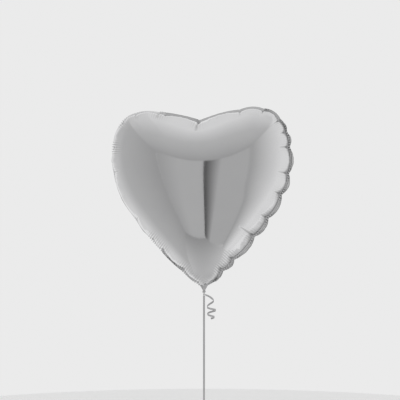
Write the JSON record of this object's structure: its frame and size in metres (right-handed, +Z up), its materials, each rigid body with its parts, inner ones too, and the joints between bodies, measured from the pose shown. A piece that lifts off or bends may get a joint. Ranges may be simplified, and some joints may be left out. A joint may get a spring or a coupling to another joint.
{
  "type": "heart foil balloon",
  "caption": "Inflated heart-shaped foil balloon with a heat-sealed seam, tied neck, self-sealing valve and a curling ribbon that ends in a hand loop.",
  "frame": {"origin": "middle of the tied neck, where the ribbon is wound round the gathered filling tail under the heart's tip", "axes": "+Z up from the neck towards the heart, which leans 1.5 degrees to -X; the front panel faces -Y; +X is to the viewer's right"},
  "size_m": [0.4568, 0.2392, 0.8128],
  "materials": {
    "foil": "satin metallised film",
    "valve_film": "clear polythene",
    "ribbon": "ribbed curling ribbon"
  },
  "bodies": {
    "balloon": {"front_panel": "foil", "back_panel": "foil", "valve_front_film": "valve_film", "valve_back_film": "valve_film"},
    "tie": {"neck_tie": "ribbon"},
    "knot": {"neck_knot": "ribbon"},
    "ribbon": {"ribbon_main": "ribbon", "hand_knot": "ribbon"},
    "curl": {"ribbon_curl": "ribbon"},
    "loop": {"hand_loop": "ribbon"}
  },
  "joints": [
    {"name": "balloon_spin", "type": "hinge", "parent": "balloon", "child": "tie", "pos_m": [0, 0, 0], "axis": [0, 0, 1], "continuous": true},
    {"name": "ribbon_sway_side", "type": "hinge", "parent": "tie", "child": "knot", "pos_m": [0, 0, -0.0064], "axis": [0, 1, 0], "range_deg": [-45, 45]},
    {"name": "ribbon_sway_front", "type": "hinge", "parent": "knot", "child": "ribbon", "pos_m": [0, 0, -0.0064], "axis": [1, 0, 0], "range_deg": [-60, 60]},
    {"name": "curl_sway", "type": "hinge", "parent": "knot", "child": "curl", "pos_m": [0, 0, -0.0064], "axis": [0, -1, 0], "range_deg": [0, 40]},
    {"name": "loop_sway", "type": "hinge", "parent": "ribbon", "child": "loop", "pos_m": [0, 0, -0.284], "axis": [1, 0, 0], "range_deg": [-70, 70]}
  ]
}
